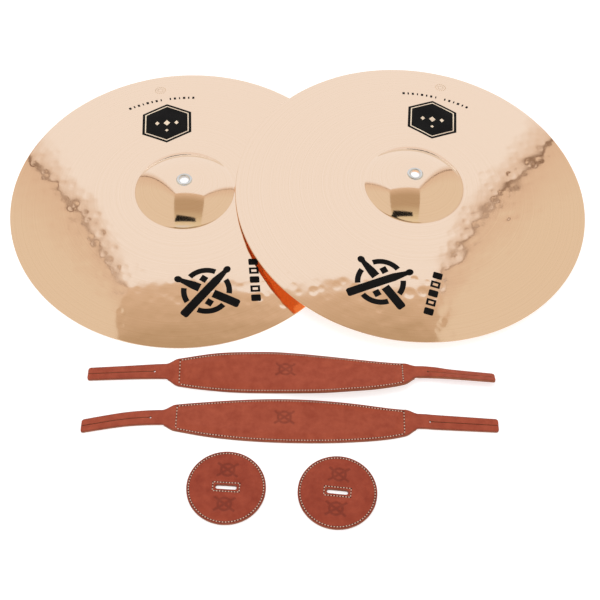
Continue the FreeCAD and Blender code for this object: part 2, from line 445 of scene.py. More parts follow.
def leather_grain_group():
    """Grain, creases and cloudiness of leather, shared by its dyed, undyed and cut faces."""
    scales = {"Grain Scale": GRAIN_SCALE, "Cloud Scale": CLOUD_SCALE}
    group, tree, start, end = group_of("Leather Grain", scales, ("Height", "Cloud", "Pore"))
    place = tree.place()
    cells = tree.add("ShaderNodeTexVoronoi", feature="DISTANCE_TO_EDGE")
    tree.feed(place, cells.inputs["Vector"])
    tree.feed(start["Grain Scale"], cells.inputs["Scale"])
    fine = tree.noise(place, 2400.0, 2.0)
    height = tree.combine("MULTIPLY", tree.spread(cells.outputs["Distance"], 0.0, 0.32), 0.7)
    height = tree.combine("ADD", height, tree.combine("MULTIPLY", fine, 0.35))
    height = tree.combine("ADD", height, tree.combine("MULTIPLY", tree.noise(place, 210.0, 4.0), 0.8))
    cloud = tree.noise(place, start["Cloud Scale"], 4.0, 0.6)
    tree.feed(height, end["Height"])
    tree.feed(tree.spread(cloud, 0.3, 0.7), end["Cloud"])
    tree.feed(tree.spread(fine, 0.36, 0.5, 1.0, 0.0), end["Pore"])
    return group


def handling_group():
    """Smudges and fine scatter of a handled face, shared by the metals and the ink."""
    group, tree, start, end = group_of("Handling Marks", {"Amount": 1.0}, ("Smudge", "Fine"))
    place = tree.place()
    smudge = tree.spread(tree.noise(place, 26.0, 5.0, 0.62), 0.38, 0.66)
    tree.feed(tree.combine("MULTIPLY", smudge, start["Amount"]), end["Smudge"])
    tree.feed(tree.noise(place, 900.0, 2.0), end["Fine"])
    return group


def bronze_material(settings, handling):
    """Turned and polished bronze: faint rings about the middle, and a few smudges."""
    material, tree, inputs = new_material("polished bronze")
    marks = tree.add("ShaderNodeGroup", node_tree=handling, Amount=1.0).outputs
    rings = tree.add("ShaderNodeTexNoise", noise_dimensions="1D", Scale=620.0, Detail=3.0)
    tree.feed(tree.stored("from_middle"), rings.inputs["W"])
    rings = rings.outputs["Fac"]
    low = toned(settings.bronze, 0.975, 0.955, 0.93)
    smooth = settings.bronze_roughness
    tree.feed(tree.mix(tree.spread(rings, 0.3, 0.7), low, settings.bronze), inputs["Base Color"])
    tree.feed(tree.spread(marks["Smudge"], 0.0, 1.0, smooth, smooth + 0.035), inputs["Roughness"])
    tree.feed(tree.bump(rings, RING_BUMP), inputs["Normal"])
    inputs["Metallic"].default_value = 1.0
    return material


def nickel_material(settings, handling):
    """Plated eyelets: bright, with fine scatter."""
    material, tree, inputs = new_material("nickel plate")
    marks = tree.add("ShaderNodeGroup", node_tree=handling, Amount=1.0).outputs
    dull = toned(settings.nickel, 0.82, 0.82, 0.82)
    tree.feed(tree.mix(marks["Smudge"], settings.nickel, dull), inputs["Base Color"])
    tree.feed(tree.spread(marks["Fine"], 0.3, 0.7, 0.14, 0.26), inputs["Roughness"])
    inputs["Metallic"].default_value = 1.0
    return material


def ink_material(name, colour, handling):
    """Printed ink: smooth, a little uneven."""
    material, tree, inputs = new_material(name)
    marks = tree.add("ShaderNodeGroup", node_tree=handling, Amount=1.0).outputs
    worn = tuple(min(1.0, part * 1.5 + 0.002) for part in colour)
    tree.feed(tree.mix(marks["Smudge"], colour, worn), inputs["Base Color"])
    tree.feed(tree.spread(marks["Fine"], 0.3, 0.7, 0.42, 0.52), inputs["Roughness"])
    inputs["Specular IOR Level"].default_value = 0.04
    return material


def leather_material(name, colour, grain, worn=False, depth=0.00009):
    """Leather of one colour, cloudy and darker in its pores. Made with worn=True, it is also darker along its
    edges and in its pressed mark, and needs a mesh that stores both."""
    material, tree, inputs = new_material(name)
    look = tree.add("ShaderNodeGroup", node_tree=grain,
                    Grain_Scale=GRAIN_SCALE, Cloud_Scale=CLOUD_SCALE).outputs
    deep = toned(colour, 0.82, 0.72, 0.68)
    tone = tree.mix(look["Cloud"], deep, toned(colour, 1.1, 1.2, 1.25))
    tone = tree.mix(tree.combine("MULTIPLY", look["Pore"], 0.35), tone, deep)
    # darker within 1.6 mm of the edges, and darker in the pressed mark
    if worn:
        dark = toned(colour, 0.42, 0.34, 0.32)
        tone = tree.mix(tree.spread(tree.stored("from_edge"), 0.0, 1.6, 0.75, 0.0), tone, dark)
        tone = tree.mix(tree.combine("MULTIPLY", tree.stored("pressed"), 0.5), tone, dark)
    tree.feed(tone, inputs["Base Color"])
    tree.feed(tree.spread(look["Cloud"], 0.0, 1.0, 0.62, 0.5), inputs["Roughness"])
    tree.feed(tree.bump(look["Height"], depth), inputs["Normal"])
    inputs["Specular IOR Level"].default_value = 0.22
    return material


def thread_material(settings):
    """Waxed linen thread, with its strands twisted round it."""
    material, tree, inputs = new_material("linen thread")
    place = tree.place()
    strands = tree.add("ShaderNodeTexWave", wave_type="BANDS", bands_direction="DIAGONAL",
                       Scale=1500.0, Distortion=2.0)
    tree.feed(place, strands.inputs["Vector"])
    strands = strands.outputs["Fac"]
    shade = toned(settings.thread, 0.7, 0.7, 0.7)
    tree.feed(tree.mix(strands, shade, settings.thread), inputs["Base Color"])
    tree.feed(tree.spread(tree.noise(place, 3000.0), 0.3, 0.7, 0.65, 0.85), inputs["Roughness"])
    tree.feed(tree.bump(strands, 0.00006), inputs["Normal"])
    return material


def needle_hole_shade_material(settings):
    """The painted shade in a needle hole: a dark leather colour on a disc."""
    material, tree, inputs = new_material("needle hole")
    place = tree.place()
    dark = toned(settings.leather, 0.1, 0.1, 0.1)
    paler = toned(settings.leather, 0.2, 0.2, 0.2)
    tree.feed(tree.mix(tree.noise(place, 700.0), dark, paler), inputs["Base Color"])
    tree.feed(tree.spread(tree.noise(place, 900.0), 0.3, 0.7, 0.8, 0.95), inputs["Roughness"])
    return material


def felt_material(settings):
    """Pressed wool felt inside the straps and pads."""
    material, tree, inputs = new_material("pressed felt")
    fibre = tree.noise(tree.place(), 1600.0, 6.0, 0.7)
    tree.feed(tree.mix(fibre, toned(settings.felt, 0.7, 0.7, 0.7), settings.felt), inputs["Base Color"])
    tree.feed(tree.spread(fibre, 0.3, 0.7, 0.85, 1.0), inputs["Roughness"])
    tree.feed(tree.bump(fibre, 0.0003), inputs["Normal"])
    return material


def make_materials(scene):
    """Every material of the object, by name."""
    handling = handling_group()
    grain = leather_grain_group()
    cymbal = scene.cymbal_settings
    inks = scene.print_settings
    strap = scene.strap_settings
    pad_colour = toned(strap.leather, 0.9, 0.76, 0.7)
    return {
        "bronze": bronze_material(cymbal, handling),
        "nickel": nickel_material(cymbal, handling),
        "ink": ink_material("dark ink", inks.ink, handling),
        "pale_ink": ink_material("pale ink", inks.pale_ink, handling),
        "stamp": ink_material("faint stamp", inks.stamp_ink, handling),
        "leather": leather_material("dyed leather", strap.leather, grain, worn=True),
        "pad_leather": leather_material("pad leather", pad_colour, grain, worn=True),
        "plain_leather": leather_material("dyed leather back", strap.leather, grain),
        "raw": leather_material("cut leather edge", strap.raw_leather, grain, depth=0.00018),
        "underlay": leather_material("undyed leather", strap.underlay, grain),
        "thread": thread_material(strap),
        "hole": needle_hole_shade_material(strap),
        # hole: the dark discs of painted shade at the needle holes
        "felt": felt_material(strap),
    }


MATERIALS = {}


# Cymbals


def sheet_height(radius):
    """Height of the sheet's underside at a distance from the middle, in millimetres."""
    t = (radius - BELL_RADIUS) / (RIM_RADIUS - BELL_RADIUS)
    bow = BOW_HEIGHT * (1 - t) + 4 * BOW_SAG * t * (1 - t)
    bell = BELL_CENTRE + np.sqrt(np.maximum(BELL_ARC**2 - radius**2, 0))
    bell = np.where(radius < SEAT_RADIUS, CROWN_HEIGHT, bell)
    apart = bell - bow
    soft = (bell + bow + np.sqrt(apart**2 + 4 * FOOT_SOFTNESS**2)) / 2
    fade = np.clip((FOOT_REACH - np.abs(radius - BELL_RADIUS)) / FOOT_FADE, 0, 1)
    sharp = np.maximum(bell, bow)
    return sharp + (soft - sharp) * fade


class Hammering:
    """The hammer marks and waves of one cymbal, as a height at any point of its face."""

    def __init__(self, seed, settings):
        draw = np.random.default_rng(seed)
        spacing = settings.dimple_spacing / MM
        marks = []
        radius = FIRST_RING
        while radius < LAST_RING:
            count = round(2 * math.pi * radius / spacing)
            turn = draw.uniform(0, 2 * math.pi)
            for k in range(count):
                angle = turn + 2 * math.pi * (k + draw.uniform(-STRAY_ROUND, STRAY_ROUND)) / count
                out = radius + draw.uniform(-STRAY_OUT, STRAY_OUT)
                deep = draw.uniform(*MARK_DEPTHS)
                wide = settings.dimple_width / MM * draw.uniform(*MARK_WIDTHS)
                if draw.uniform() < HEAVY_SHARE:
                    deep *= HEAVY_DEPTH
                    wide *= HEAVY_WIDTH
                marks.append((out * math.cos(angle), out * math.sin(angle), deep, wide))
            radius += spacing * RING_SPACING
        self.marks = np.array(marks)
        self.marks[:, 2] *= settings.dimple_depth / MM
        self.waves = []
        slow = (*SLOW_WAVES, settings.unevenness / 3)
        short = (*SHORT_WAVES, settings.ripple)
        for count, low, high, size in (slow, short):
            for _ in range(count):
                self.waves.append((draw.uniform(low, high), draw.uniform(0, 2 * math.pi),
                                   draw.uniform(0, 2 * math.pi), size / MM))

    def height(self, x, y):
        """Height that the hammering adds at points in the cymbal's own place, in millimetres."""
        result = np.zeros_like(x)
        for mark_x, mark_y, deep, wide in self.marks:
            away = ((x - mark_x) ** 2 + (y - mark_y) ** 2) / wide**2
            near = away < 7
            result[near] -= deep * np.exp(-((away[near] / 2) ** 2))
        waves = np.zeros_like(x)
        for rate, turn, start, size in self.waves:
            waves += size * np.sin(rate * (x * math.cos(turn) + y * math.sin(turn)) + start)
        out = np.hypot(x, y)
        calm = smooth_step((out - BELL_RADIUS - 4) / 20)
        return result * smooth_step((RIM_RADIUS + 2 - out) / 6) + waves * calm


def cymbal_places():
    """Each cymbal's place: the matrix from its own frame, in metres, to the row frame."""
    towards = math.radians(RIGHT_TOWARDS)
    axis = Vector((-math.sin(towards), math.cos(towards), 0))
    lift = RIM_RADIUS * math.sin(math.radians(RIGHT_TILT))
    left = Matrix.Translation(Vector((*LEFT_AT, 0)) * MM)
    right = Matrix.Translation(Vector((*RIGHT_AT, lift)) * MM) @ Matrix.Rotation(
        math.radians(RIGHT_TILT), 4, axis)
    return {"left": left, "right": right}


def sheet_radii():
    """Distances from the middle of the sheet's rings, closer at the bell's foot."""
    return np.concatenate([
        [HOLE_RADIUS + 0.2, 8.5, 10, SEAT_RADIUS],
        np.arange(13, 56, 2.6),
        np.arange(56, 72, 0.6),
        np.arange(72, RIM_RADIUS - 1, 1.4),
        [RIM_RADIUS - 0.5],
    ])


def make_cymbal(side, hammering):
    """One hammered sheet with a rounded rim and hole."""
    radii = sheet_radii()
    angles = np.arange(SHEET_SEGMENTS) * 2 * math.pi / SHEET_SEGMENTS
    x = radii[:, None] * np.cos(angles)
    y = radii[:, None] * np.sin(angles)
    lower = sheet_height(radii)[:, None] + hammering.height(x, y)

    def loop(radius, height):
        return np.stack([radius * np.cos(angles), radius * np.sin(angles), height], -1)[None]

    near_top = SHEET - SHEET_CORNER
    coarse = np.unique(np.concatenate([np.arange(0, len(radii), 4), [len(radii) - 1]]))[::-1]
    grid = np.concatenate([
        np.stack([x, y, lower + SHEET], -1),
        loop(RIM_RADIUS - SHEET_BULGE, lower[-1] + near_top),
        loop(RIM_RADIUS, lower[-1] + SHEET / 2),
        loop(RIM_RADIUS - SHEET_BULGE, lower[-1] + SHEET_CORNER),
        np.stack([x, y, lower], -1)[coarse],
        loop(HOLE_RADIUS, lower[0] + SHEET_CORNER),
        loop(HOLE_RADIUS, lower[0] + near_top),
    ])
    faces = ring_faces(grid.shape[0], SHEET_SEGMENTS, closed_rows=True)
    piece = mesh_object(f"{side}_hammered_sheet", grid.reshape(-1, 3), faces, ["bronze"],
                        sharp=60, place=cymbal_places()[side])
    point_values(piece, "from_middle", np.hypot(grid[..., 0], grid[..., 1]) * MM)
    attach(piece, f"{side}_cymbal")
    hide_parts(f"{side}_cymbal_plate")


# Printed marks, drawn flat in millimetres as lists of corners

# The badge and both sides of its border: width, height and the height of each point.
BADGE = (66, 79, 19)
BORDER_OUTER = (59, 71, 17)
BORDER_INNER = (56, 67.4, 16.1)
TICKS = 15
TICK_LEFT_OUT = 8
PRINT_MESH = 2.0
PRINT_ROOT = 0.06


def turned(polygons, angle, x=0.0, y=0.0):
    """Polygons turned by degrees and moved."""
    c = math.cos(math.radians(angle))
    s = math.sin(math.radians(angle))
    return [[(x + c * u - s * v, y + s * u + c * v) for u, v in polygon] for polygon in polygons]


def block(width, height, corner=1.2, x=0.0, y=0.0):
    """A rounded block."""
    points = []
    for sx, sy, start in ((1, 1, 0), (-1, 1, 90), (-1, -1, 180), (1, -1, 270)):
        for step in range(5):
            a = math.radians(start + step * 22.5)
            points.append((x + sx * (width / 2 - corner) + corner * math.cos(a),
                           y + sy * (height / 2 - corner) + corner * math.sin(a)))
    return [points]


def frame_block(width, height, stroke):
    """A hollow block made of four bars."""
    w = width / 2
    h = height / 2
    return [
        [(-w, -h), (w, -h), (w, stroke - h), (-w, stroke - h)],
        [(-w, h - stroke), (w, h - stroke), (w, h), (-w, h)],
        [(-w, stroke - h), (stroke - w, stroke - h), (stroke - w, h - stroke), (-w, h - stroke)],
        [(w - stroke, stroke - h), (w, stroke - h), (w, h - stroke), (w - stroke, h - stroke)],
    ]


def ring(outer, inner, steps=40):
    """A flat ring as a run of four-cornered pieces."""
    pieces = []
    for k in range(steps):
        a = 2 * math.pi * k / steps
        b = 2 * math.pi * (k + 1) / steps
        corners = ((outer, a), (outer, b), (inner, b), (inner, a))
        pieces.append([(radius * math.cos(angle), radius * math.sin(angle)) for radius, angle in corners])
    return pieces


def diamond(width, height, x=0.0, y=0.0):
    """A diamond."""
    return [[(x + width / 2, y), (x, y + height / 2), (x - width / 2, y), (x, y - height / 2)]]


def hexagon(width, height, shoulder):
    """A tall badge with a point at the top and bottom."""
    w = width / 2
    h = height / 2
    return [(w, -h + shoulder), (w, h - shoulder), (0, h), (-w, h - shoulder), (-w, -h + shoulder), (0, -h)]


def stick(low, high):
    """A drumstick lying along X between two distances from its middle, with its tip towards +X."""
    shape = [(-44, 3.6), (-43, 5.0), (-41, 5.6), (18, 5.4), (32, 3.4), (35, 3.1)]
    shape += [(38.6 + 5.2 * math.cos(a), 4.4 * math.sin(a)) for a in np.radians(np.arange(130, -1, -20))]
    outline = [(x, y) for x, y in shape if low <= x <= high]
    if low > -44:
        outline.insert(0, (low, 5.5))
    if high < 43:
        outline.append((high, 5.5))
    return [outline + [(x, -y) for x, y in outline[::-1] if y > 1e-6]]


def crossed_sticks():
    """Two crossed drumsticks, one passing behind the other, with a diamond above and below, in a ring
    that is broken where the sticks cross it."""
    leans = (37, 143)
    gap = 9.2
    marks = turned(stick(-50, 50), leans[0])
    marks += turned(stick(-50, -gap) + stick(gap, 50), leans[1])
    for arc in ring(31.5, 24.5, 72):
        x = sum(corner[0] for corner in arc) / 4
        y = sum(corner[1] for corner in arc) / 4
        beside = [abs(y * math.cos(math.radians(a)) - x * math.sin(math.radians(a))) for a in leans]
        if min(beside) > 7.6:
            marks.append(arc)
    return marks + diamond(12, 12, 0, 16.5) + diamond(12, 12, 0, -16.5)


def shape_row():
    """Five blocks in a row, solid and hollow by turns."""
    marks = []
    for k in range(5):
        piece = block(9.0, 12.0, 1.6) if k % 2 == 0 else frame_block(9.0, 12.0, 2.8)
        marks += turned(piece, 0, (k - 2) * 12.6)
    return marks


def arc_ticks(radius, start, end):
    """Short upright blocks along an arc about the cymbal's middle, in its own place, with one gap."""
    marks = []
    for k in range(TICKS):
        if k == TICK_LEFT_OUT:
            continue
        angle = start + (end - start) * k / (TICKS - 1)
        width = (3.4, 2.0, 3.0, 1.6)[k % 4]
        a = math.radians(angle)
        marks += turned(block(width, 4.8, 0.5), angle - 90, radius * math.cos(a), radius * math.sin(a))
    return marks


def stamp_dots():
    """A small round stamp: two rings of dots."""
    marks = []
    for radius, count in ((7.0, 16), (3.6, 8)):
        for k in range(count):
            a = 360 * k / count
            marks += turned(ring(0.85, 0.01, 8), a, radius * math.cos(math.radians(a)),
                            radius * math.sin(math.radians(a)))
    return marks


def settled(work):
    """The points and faces of a mesh that is being worked on, in an order that never changes."""
    verts = sorted(work.verts, key=lambda vert: vert.co[:])
    numbers = {vert: k for k, vert in enumerate(verts)}
    faces = []
    for face in work.faces:
        corners = [numbers[vert] for vert in face.verts]
        first = corners.index(min(corners))
        faces.append(tuple(corners[first:] + corners[:first]))
    return np.array([vert.co[:] for vert in verts]), sorted(faces)


def printed_piece(name, side, polygons, material, hammering, lift):
    """A film of ink that follows the hammered face, as a thin closed mesh."""
    work = bmesh.new()
    for polygon in polygons:
        work.faces.new([work.verts.new((x, y, 0)) for x, y in polygon])
    bmesh.ops.remove_doubles(work, verts=work.verts, dist=0.001)
    bmesh.ops.triangulate(work, faces=work.faces)
    corners = np.array([v.co[:2] for v in work.verts])
    for axis, normal in enumerate((Vector((1, 0, 0)), Vector((0, 1, 0)))):
        for cut in np.arange(math.floor(corners[:, axis].min()), corners[:, axis].max(), PRINT_MESH):
            parts = work.verts[:] + work.edges[:] + work.faces[:]
            bmesh.ops.bisect_plane(work, geom=parts, plane_co=normal * cut, plane_no=normal)
    bmesh.ops.triangulate(work, faces=work.faces)
    bmesh.ops.recalc_face_normals(work, faces=work.faces)
    if sum(f.normal.z for f in work.faces) < 0:
        bmesh.ops.reverse_faces(work, faces=work.faces)
    under = work.verts[:]
    raised = bmesh.ops.extrude_face_region(work, geom=work.faces[:])
    over = [v for v in raised["geom"] if isinstance(v, bmesh.types.BMVert)]
    for verts, height in ((under, -PRINT_ROOT), (over, lift)):
        flat = np.array([v.co[:2] for v in verts])
        heights = sheet_height(np.hypot(flat[:, 0], flat[:, 1])) + SHEET + height
        heights += hammering.height(flat[:, 0], flat[:, 1])
        for v, z in zip(verts, heights):
            v.co.z = z
    bmesh.ops.recalc_face_normals(work, faces=work.faces)
    points, faces = settled(work)
    work.free()
    piece = mesh_object(name, points, faces, [material], sharp=50, place=cymbal_places()[side])
    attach(piece, f"{side}_cymbal")


# Each cymbal's marks: badge middle and turn, arc of ticks, stamp, crossed sticks and row of blocks.
PRINT_PLACES = {
    "left": {
        "badge": (-33.5, 121.8, 4.5), "arc": (176.0, 119.5, 90.5), "stamp": (-48.6, 192.2, 14.0),
        "sticks": (35.8, -151.6, 15.0), "row": (94.3, -133.0, 96.0),
    },
    "right": {
        "badge": (31.7, 121.6, -4.5), "arc": (174.0, 91.5, 62.0), "stamp": (48.3, 192.9, -14.0),
        "sticks": (-44.6, -150.2, -15.5), "row": (20.0, -163.5, 76.0),
    },
}


def badge_lines():
    """The badge's pale border and the diamonds in its middle."""
    outer = hexagon(*BORDER_OUTER)
    inner = hexagon(*BORDER_INNER)
    border = [[outer[k], outer[(k + 1) % 6], inner[(k + 1) % 6], inner[k]] for k in range(6)]
    return border + diamond(9, 11) + diamond(6, 8, -13, 0) + diamond(6, 8, 13, 0) + diamond(5, 5, 0, -15)


def make_prints(side, hammering, film):
    """The printed marks of one cymbal."""
    places = PRINT_PLACES[side]

    def put(name, polygons, place, ink="ink", lift=film):
        x, y, turn = places[place]
        printed_piece(f"{side}_{name}", side, turned(polygons, turn, x, y), ink, hammering, lift)

    put("badge", [hexagon(*BADGE)], "badge")
    put("badge_lines", badge_lines(), "badge", "pale_ink", film * 1.7)
    ticks = arc_ticks(*places["arc"])
    printed_piece(f"{side}_arc_of_ticks", side, ticks, "ink", hammering, film)
    put("stamp", stamp_dots(), "stamp", "stamp")
    put("crossed_sticks", crossed_sticks(), "sticks")
    put("block_row", shape_row(), "row")


# Stitches


# Half the length, width and height of a stitch, the radius of the disc of painted shade at a needle hole, and
# how far it is from the stitch.
STITCH = (0.85, 0.64, 0.55)
NEEDLE_HOLE = 0.82
HOLE_SHIFT = 1.7


def stitch_template(half_length, half_width, half_height):
    """Points and faces of one stitch along X, lowest at its ends."""
    sides = 8
    loops = 5
    points = []
    for k in range(1, loops + 1):
        along = -math.cos(math.pi * k / (loops + 1))
        size = math.sin(math.pi * k / (loops + 1)) ** 0.6
        for side in range(sides):
            a = 2 * math.pi * side / sides
            points.append((along * half_length, size * half_width * math.cos(a),
                           size * half_height * math.sin(a) - 0.12 * along**2))
    points.append((-half_length * 1.05, 0, -0.2))
    points.append((half_length * 1.05, 0, -0.2))
    faces = ring_faces(loops, sides)
    first_tip = loops * sides
    last_loop = first_tip - sides
    for side in range(sides):
        after = (side + 1) % sides
        faces.append((first_tip, after, side))
        faces.append((first_tip + 1, last_loop + side, last_loop + after))
    return np.array(points), faces


def hole_shade_template(size):
    """Points and faces of the disc of painted shade at a needle hole, which stands on the floor of the seam's
    groove.
    """
    corners = [(size * math.cos(a), size * math.sin(a)) for a in np.radians(np.arange(0, 360, 45))]
    points = [(x, y, -0.15) for x, y in corners] + [(x, y, 0.17) for x, y in corners]
    faces = [(k, (k + 1) % 8, 8 + (k + 1) % 8, 8 + k) for k in range(8)]
    return np.array(points), faces + [tuple(range(7, -1, -1)), tuple(range(8, 16))]


def sew(name, node, body, spots, along, normals):
    """Stitches and discs of painted shade at their needle holes, at spots in millimetres, replacing a thread
    node.
    """
    along = unit(along)
    normals = unit(normals)
    frames = np.stack([along, np.cross(normals, along), normals], axis=1)
    points = []
    faces = []
    slots = []
    count = 0
    templates = ((stitch_template(*STITCH), 0.0), (hole_shade_template(NEEDLE_HOLE), HOLE_SHIFT))
    for slot, ((shape, shape_faces), shift) in enumerate(templates):
        offset = shape + np.array([shift, 0, 0])
        placed = np.einsum("pk,nkc->npc", offset, frames) + spots[:, None, :]
        points.append(placed.reshape(-1, 3))
        for k in range(len(spots)):
            faces += [tuple(c + count + k * len(shape) for c in face) for face in shape_faces]
        slots += [slot] * (len(spots) * len(shape_faces))
        count += len(spots) * len(shape)
    piece = mesh_object(name, np.concatenate(points), faces, ["thread", "hole"], slots)
    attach(piece, body)
    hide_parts(node)


def spaced(start, end, pitch):
    """Places from start to end, evenly spaced close to a pitch, half a pitch in from both ends."""
    count = max(1, round(abs(end - start) / pitch))
    step = (end - start) / count
    return start + step * (np.arange(count) + 0.5)


# Straps

PANEL_WIDTH = 2 * MIDDLE_HALF
TAIL_WIDTH = 2 * TAIL_ROOT_HALF
COVER_LOOKS = ["leather", "raw", "plain_leather"]


def smooth_column(rows, place, column):
    """One column of a table at places along its first column, on a smooth curve through the rows."""
    marks = np.array([row[0] for row in rows], float)
    values = np.array([row[column] for row in rows], float)
    low = np.maximum(np.arange(len(rows)) - 1, 0)
    high = np.minimum(np.arange(len(rows)) + 1, len(rows) - 1)
    slopes = (values[high] - values[low]) / (marks[high] - marks[low])
    i = np.clip(np.searchsorted(marks, place, side="right") - 1, 0, len(rows) - 2)
    span = marks[i + 1] - marks[i]
    t = (place - marks[i]) / span
    rest = 1 - t
    return (
        values[i] * (1 + 2 * t) * rest**2
        + values[i + 1] * (3 - 2 * t) * t**2
        + slopes[i] * span * t * rest**2
        - slopes[i + 1] * span * rest * t**2
    )


def along_neck(place):
    """How far along a neck a place is: 0 before the neck and 1 past it."""
    return np.clip((np.abs(place) - NECK_START) / (NECK_END - NECK_START), 0, 1)


def half_width(place):
    """Half the strap's width at distances along it from its middle."""
    far = np.abs(place)
    panel = NECK_HALF + (MIDDLE_HALF - NECK_HALF) * (1 - (far / NECK_START) ** 2)
    neck = TAIL_ROOT_HALF + (NECK_HALF - TAIL_ROOT_HALF) * (1 + np.cos(math.pi * along_neck(place))) / 2
    slim = (far - NECK_END) / (STRAP_HALF - NECK_END)
    tail = TAIL_ROOT_HALF - (TAIL_ROOT_HALF - TAIL_END_HALF) * slim
    return np.where(far <= NECK_START, panel, np.where(far <= NECK_END, neck, tail))


def strap_point(line, place, across, height):
    """Points of a strap: across from its centre line, and height above its underside."""
    place, across, height = np.broadcast_arrays(
        np.asarray(place, float), np.asarray(across, float), np.asarray(height, float))
    twist = np.radians(smooth_column(line, place, 2))
    y = smooth_column(line, place, 1) + across * np.cos(twist) + height * np.sin(twist)
    z = smooth_column(line, place, 3) - across * np.sin(twist) + height * np.cos(twist)
    return np.stack([STRAP_MIDDLE_X + place, y, z], axis=-1)


def strap_inset(place, across):
    """Distance in from the strap's nearer long edge."""
    return half_width(place) - np.abs(across)


def furrow(away, width):
    """Depth of a rounded furrow, from 0 to 1, at a distance from its middle."""
    return np.exp(-((away / width) ** 2))


def pressed_mark(x, y):
    """How deep the pressed mark is, from 0 to 1, about its middle in millimetres."""
    x = x / PRESS_SIZE
    y = y / PRESS_SIZE
    reach, half = PRESS_BAR
    depth = smooth_step((PRESS_STROKE - np.abs(np.hypot(x, y) - PRESS_RING)) / 0.6)
    for turn in (PRESS_LEAN, -PRESS_LEAN):
        c = math.cos(math.radians(turn))
        s = math.sin(math.radians(turn))
        along = np.abs(c * x + s * y)
        aside = np.abs(-s * x + c * y)
        bar = smooth_step((half - aside) / 0.6) * smooth_step((reach - along) / 0.8)
        depth = np.maximum(depth, bar)
    return depth


def edge_round(inset):
    """How far the face falls away over the last half millimetre at an edge."""
    t = np.clip(1 - inset / 0.55, 0, 1)
    return 0.42 * (1 - np.sqrt(1 - t**2 * 0.999))


def panel_rise(place, inset):
    """How far the padding lifts the cover, from 0 at the seams to 1."""
    end_inset = NECK_START - np.abs(place)
    return smooth_step((inset - 3) / 9) * smooth_step((end_inset - 1) / 10)


def panel_top(place, across):
    """Height of the cover's face over the strap's underside."""
    far = np.abs(place)
    inset = strap_inset(place, across)
    groove = GROOVE_DEPTH * furrow(inset - SEAM_INSET, GROOVE_WIDTH)
    end_groove = 0.3 * furrow(NECK_START - far, 0.9) * (inset > 1)
    level = UNDERLAY + 0.1 + COVER - 0.4 * along_neck(place)
    seam = np.where(far < NECK_START, groove, 0) + end_groove
    return level + FELT * FELT_SWELL * panel_rise(place, inset) - seam - edge_round(inset)


def bar_section(line, places, near, far, top, bottom, columns):
    """Sections of a bar along a strap. near and far give its edges, top and bottom its faces' heights,
    and columns the steps across, from 0 to 1. Returns points and the place and across of each."""
    across = near(places)[:, None] * (1 - columns) + far(places)[:, None] * columns
    spots = np.broadcast_to(places[:, None], across.shape)
    over = strap_point(line, spots, across, top(spots, across))
    under = strap_point(line, spots, across, bottom(spots, across))
    points = np.concatenate([over, under[:, ::-1]], axis=1)
    return points, np.concatenate([spots, spots], 1), np.concatenate([across, across[:, ::-1]], 1)


def bar_object(name, section, looks, pressed=False):
    """A closed bar along a strap, made of the sections that bar_section gives.
    looks are the materials of its face, its cut sides and its underside."""
    points, spots, across = section
    rows, count = points.shape[:2]
    half = count // 2
    backwards = spots[0, 0] > spots[-1, 0]
    faces = ring_faces(rows, count)
    if not backwards:
        faces = [f[::-1] for f in faces]
    faces += cap_faces(0, count, backwards)
    faces += cap_faces((rows - 1) * count, count, not backwards)
    cut = (0, half - 2, half - 1, count - 1)
    slots = [1 if column in cut else (0 if column < half else 2) for column in range(count)] * (rows - 1)
    slots += [1] * (2 * (half - 1))
    piece = mesh_object(name, points.reshape(-1, 3), faces, looks, slots, sharp=50)
    inset = strap_inset(spots, across)
    point_values(piece, "from_edge", inset)
    mark = np.zeros_like(inset)
    if pressed:
        mark = pressed_mark(spots - PRESS_AT[0], across - PRESS_AT[1])
        mark[:, half:] = 0
    point_values(piece, "pressed", mark)
    return piece


def panel_columns():
    """Steps across the panel: close at its edges and where the mark is pressed."""
    edge = np.array([0, 0.15, 0.35, 0.6, 1.0, 1.5, 2.0, 2.5, 3.0, 3.5, 4.0, 4.8, 6.0, 7.5, 9.0, 10.5, 12.0])
    wide = np.concatenate([edge, np.arange(14, 18, 1.5)])
    middle = np.arange(18.6, PANEL_WIDTH - 18.6, PRESS_MESH)
    return np.concatenate([wide, middle, PANEL_WIDTH - wide[::-1]]) / PANEL_WIDTH


def panel_places():
    """Steps along the panel: close where the mark is pressed and at its end seams."""
    end = NECK_START - np.array([0, 0.4, 0.9, 1.5, 2.2, 3.0, 4.0, 5.0, 6.0, 7.5, 9.0, 11.0])
    middle = np.arange(PRESS_AT[0] - 13, PRESS_AT[0] + 13, PRESS_MESH)
    left = np.arange(-120, middle[0] - 1, 2.5)
    right = np.arange(middle[-1] + 1.5, 121, 2.5)
    return np.concatenate([-end, left, middle, right, end[::-1]])


def strap_panel(name, line, depth):
    """The padded palm panel of a strap."""
    def top(place, across):
        mark = pressed_mark(place - PRESS_AT[0], across - PRESS_AT[1])
        return panel_top(place, across) - depth * mark

    def bottom(place, across):
        return UNDERLAY + SHEET_GAP + FELT * FELT_SWELL * panel_rise(place, strap_inset(place, across))

    section = bar_section(line, panel_places(), lambda s: -half_width(s), half_width, top, bottom,
                          panel_columns())
    piece = bar_object(f"{name}_panel", section, COVER_LOOKS, pressed=True)
    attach(piece, name)
    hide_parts(f"{name}_cover")


